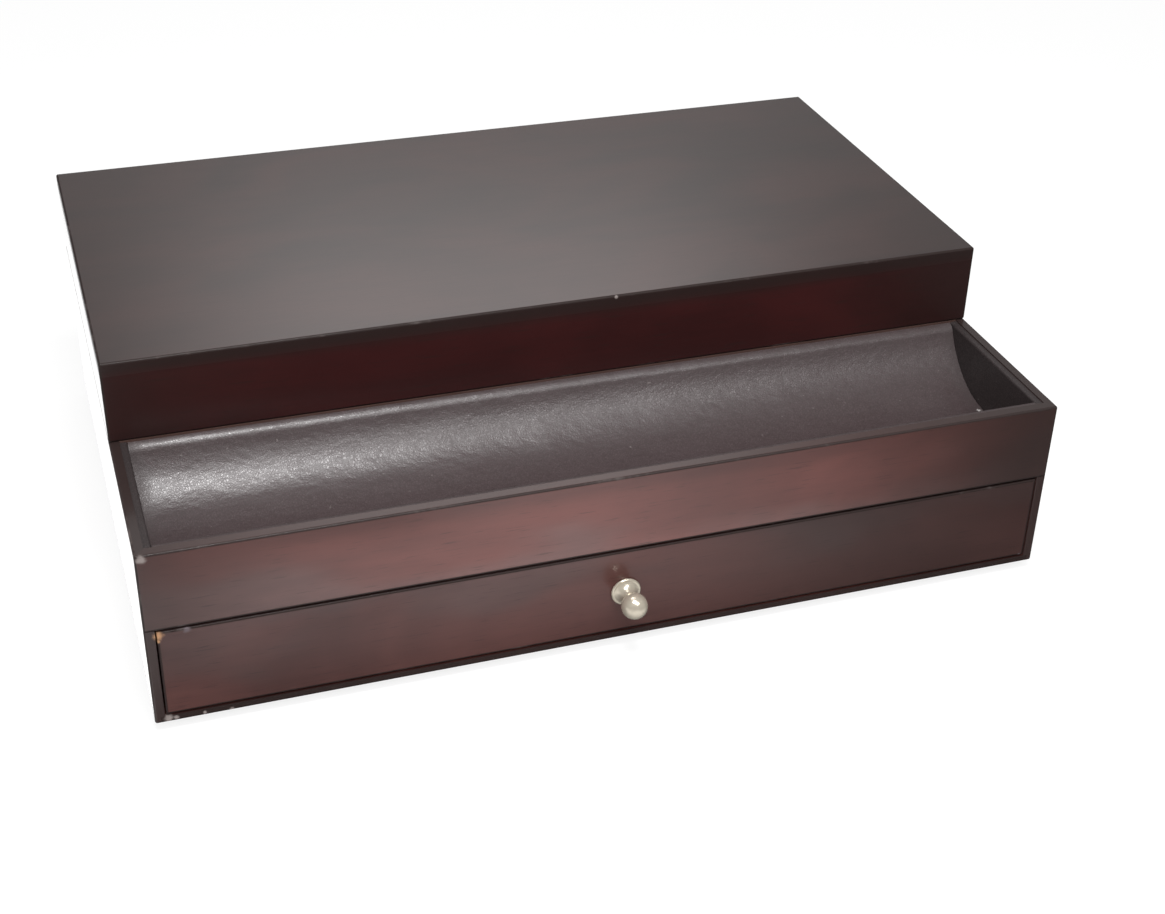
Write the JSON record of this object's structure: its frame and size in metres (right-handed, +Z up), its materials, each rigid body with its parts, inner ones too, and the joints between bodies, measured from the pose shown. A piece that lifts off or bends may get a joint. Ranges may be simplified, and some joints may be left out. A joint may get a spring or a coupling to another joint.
{
  "type": "watch box with drawer",
  "caption": "Dark lacquered wooden watch box with a hinged lid over cushioned watch pockets, an open lined pen tray along its front and a pull-out drawer below with a round metal knob.",
  "frame": {"origin": "on the supporting surface, under the middle of the whole box measured from the knob's tip to the back", "axes": "+X to the right along the front, +Y from the drawer front to the hinged back, +Z up"},
  "size_m": [0.321, 0.244, 0.1],
  "materials": {
    "lacquered_wood": "dark mahogany stain under satin lacquer",
    "stained_board": "dark stain, dull",
    "leatherette": "dark brown fine-grained leatherette",
    "velvet": "dark brown velvet",
    "cushion_cover": "soft dark brown leatherette",
    "hinge_brass": "lacquered brass",
    "knob_nickel": "polished nickel",
    "screw_steel": "zinc plated",
    "foot_rubber": "matt black"
  },
  "bodies": {
    "case": {"front_rail": "lacquered_wood", "side_panel_left": "lacquered_wood", "side_panel_right": "lacquered_wood", "back_panel": "lacquered_wood", "base_board": "lacquered_wood", "deck_board": "stained_board", "partition": "lacquered_wood", "foot_front_left": "foot_rubber", "foot_front_right": "foot_rubber", "foot_back_left": "foot_rubber", "foot_back_right": "foot_rubber", "tray_trough": "leatherette", "tray_end_left": "leatherette", "tray_end_right": "leatherette", "bay_liner_front": "leatherette", "bay_liner_back": "leatherette", "bay_liner_left": "leatherette", "bay_liner_right": "leatherette", "bay_floor_pad": "velvet", "long_divider": "leatherette", "cross_divider_1": "leatherette", "cross_divider_2": "leatherette", "cross_divider_3": "leatherette", "cross_divider_4": "leatherette", "watch_cushion_1": "cushion_cover", "watch_cushion_2": "cushion_cover", "watch_cushion_3": "cushion_cover", "watch_cushion_4": "cushion_cover", "watch_cushion_5": "cushion_cover", "watch_cushion_6": "cushion_cover", "watch_cushion_7": "cushion_cover", "watch_cushion_8": "cushion_cover", "watch_cushion_9": "cushion_cover", "watch_cushion_10": "cushion_cover", "drawer_stop": "stained_board", "hinge_case_leaf_left": "hinge_brass", "hinge_case_leaf_right": "hinge_brass", "hinge_pin_left": "hinge_brass", "hinge_pin_right": "hinge_brass", "case_hinge_screws": "hinge_brass"},
    "lid": {"lid_top": "lacquered_wood", "lid_front": "lacquered_wood", "lid_back": "lacquered_wood", "lid_left": "lacquered_wood", "lid_right": "lacquered_wood", "lid_lining": "velvet", "hinge_lid_leaf_left": "hinge_brass", "hinge_lid_leaf_right": "hinge_brass", "lid_hinge_screws": "hinge_brass"},
    "drawer": {"drawer_front": "lacquered_wood", "drawer_side_left": "stained_board", "drawer_side_right": "stained_board", "drawer_back": "stained_board", "drawer_bottom": "stained_board", "drawer_floor_pad": "velvet", "knob": "knob_nickel", "knob_screw": "screw_steel"}
  },
  "joints": [
    {"name": "lid_hinge", "type": "hinge", "parent": "case", "child": "lid", "pos_m": [0, 0.11995, 0.07], "axis": [-1, 0, 0], "range_deg": [0, 95]},
    {"name": "drawer_slide", "type": "slide", "parent": "case", "child": "drawer", "axis": [0, -1, 0], "range_m": [0, 0.165]}
  ]
}
